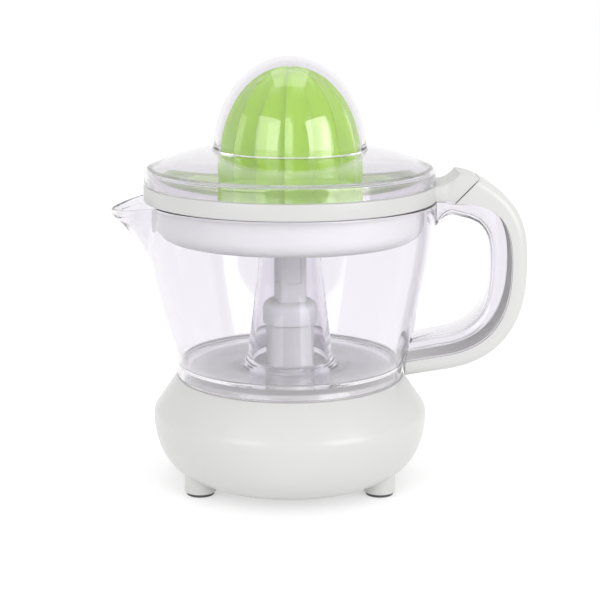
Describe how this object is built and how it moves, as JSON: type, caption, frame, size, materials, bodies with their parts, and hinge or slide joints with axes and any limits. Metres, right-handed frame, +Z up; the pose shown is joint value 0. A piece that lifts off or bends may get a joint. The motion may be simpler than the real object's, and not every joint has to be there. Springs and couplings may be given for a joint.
{
  "type": "citrus press juicer",
  "caption": "Electric citrus press: clear juice jug with V spout and C handle, white strainer rim, ribbed green reamer under a clear domed cover, on a white rounded motor base with short legs.",
  "frame": {"origin": "on the spindle axis, at the level of the worktop the feet stand on", "axes": "+Z up along the spindle, spout towards -X, handle towards +X, front towards -Y"},
  "size_m": [0.2037, 0.1432, 0.2115],
  "materials": {
    "clear_san": "clear gloss",
    "green_san": "translucent gloss",
    "white_abs": "gloss",
    "white_pp": "satin",
    "acetal": "satin",
    "dark_rubber": "matte",
    "black_phenolic": "matte",
    "red_plastic": "gloss",
    "ferrite": "matte",
    "zinc_steel": "zinc plated",
    "spring_steel": "polished",
    "brass": "satin",
    "copper_wire": "enamelled",
    "lead_pvc": "satin"
  },
  "bodies": {
    "base": {"base_housing": "white_abs", "bottom_cover": "white_abs", "rubber_feet": "dark_rubber", "cover_screws": "zinc_steel", "lever_pin": "zinc_steel", "microswitch": "black_phenolic", "switch_terminals": "brass", "switch_screws": "zinc_steel", "terminal_block": "acetal", "terminal_screws": "zinc_steel", "lead_wires": "lead_pvc", "motor_can": "zinc_steel", "coil_bobbin": "acetal", "coil_winding": "copper_wire", "rotor_axle": "zinc_steel", "gear_plate": "zinc_steel", "idler_pin": "zinc_steel", "output_bush": "brass", "gear_cover": "zinc_steel", "motor_screws": "zinc_steel"},
    "jug": {"jug": "clear_san", "handle_grip": "white_abs"},
    "strainer": {"strainer": "white_pp"},
    "reamer": {"reamer_cone": "green_san"},
    "cover": {"dust_cover": "clear_san"},
    "press_washer": {"thrust_washer": "acetal"},
    "spindle": {"drive_spindle": "white_abs", "spindle_circlip": "spring_steel"},
    "output": {"output_shaft": "zinc_steel", "output_gear": "brass", "spring_seat": "zinc_steel", "shaft_clip": "spring_steel", "return_spring": "spring_steel"},
    "idler": {"idler_gear": "brass"},
    "rotor": {"rotor_magnet": "ferrite", "rotor_pinion": "acetal"},
    "lever": {"switch_lever": "acetal"},
    "button": {"switch_button": "red_plastic"}
  },
  "joints": [
    {"name": "jug_lift", "type": "slide", "parent": "base", "child": "jug", "axis": [0, 0, 1], "range_m": [0, 0.11]},
    {"name": "strainer_lift", "type": "slide", "parent": "jug", "child": "strainer", "axis": [0, 0, 1], "range_m": [0, 0.06]},
    {"name": "cover_lift", "type": "slide", "parent": "strainer", "child": "cover", "axis": [0, 0, 1], "range_m": [0, 0.07]},
    {"name": "reamer_spin", "type": "hinge", "parent": "strainer", "child": "reamer", "pos_m": [0, 0, 0.15], "axis": [0, 0, 1], "continuous": true},
    {"name": "spindle_press", "type": "slide", "parent": "base", "child": "press_washer", "axis": [0, 0, 1], "range_m": [-0.0025, 0], "stiffness_N_per_m": 1500, "springref_m": 0.004, "deforming": ["return_spring"]},
    {"name": "spindle_spin", "type": "hinge", "parent": "press_washer", "child": "spindle", "pos_m": [0, 0, 0.1], "axis": [0, 0, 1], "continuous": true},
    {"name": "output_spin", "type": "hinge", "parent": "base", "child": "output", "pos_m": [0, 0, 0.04], "axis": [0, 0, 1], "continuous": true},
    {"name": "idler_spin", "type": "hinge", "parent": "base", "child": "idler", "pos_m": [0.0126, 0, 0.028], "axis": [0, 0, 1], "continuous": true},
    {"name": "rotor_spin", "type": "hinge", "parent": "base", "child": "rotor", "pos_m": [0, 0, 0.018], "axis": [0, 0, 1], "continuous": true},
    {"name": "lever_tilt", "type": "hinge", "parent": "base", "child": "lever", "pos_m": [0.034, 0, 0.0484], "axis": [0, 1, 0], "range_deg": [-4.3, 0]},
    {"name": "button_travel", "type": "slide", "parent": "base", "child": "button", "axis": [0, 0, 1], "range_m": [-0.0011, 0]}
  ],
  "couplings": [
    {"joint": "spindle_spin", "follows": "reamer_spin", "ratio": 1},
    {"joint": "output_spin", "follows": "reamer_spin", "ratio": 1},
    {"joint": "idler_spin", "follows": "reamer_spin", "ratio": -2.5},
    {"joint": "rotor_spin", "follows": "reamer_spin", "ratio": 6.25},
    {"joint": "lever_tilt", "follows": "spindle_press", "rad_per_m": 29.412},
    {"joint": "button_travel", "follows": "spindle_press", "ratio": 0.4}
  ]
}
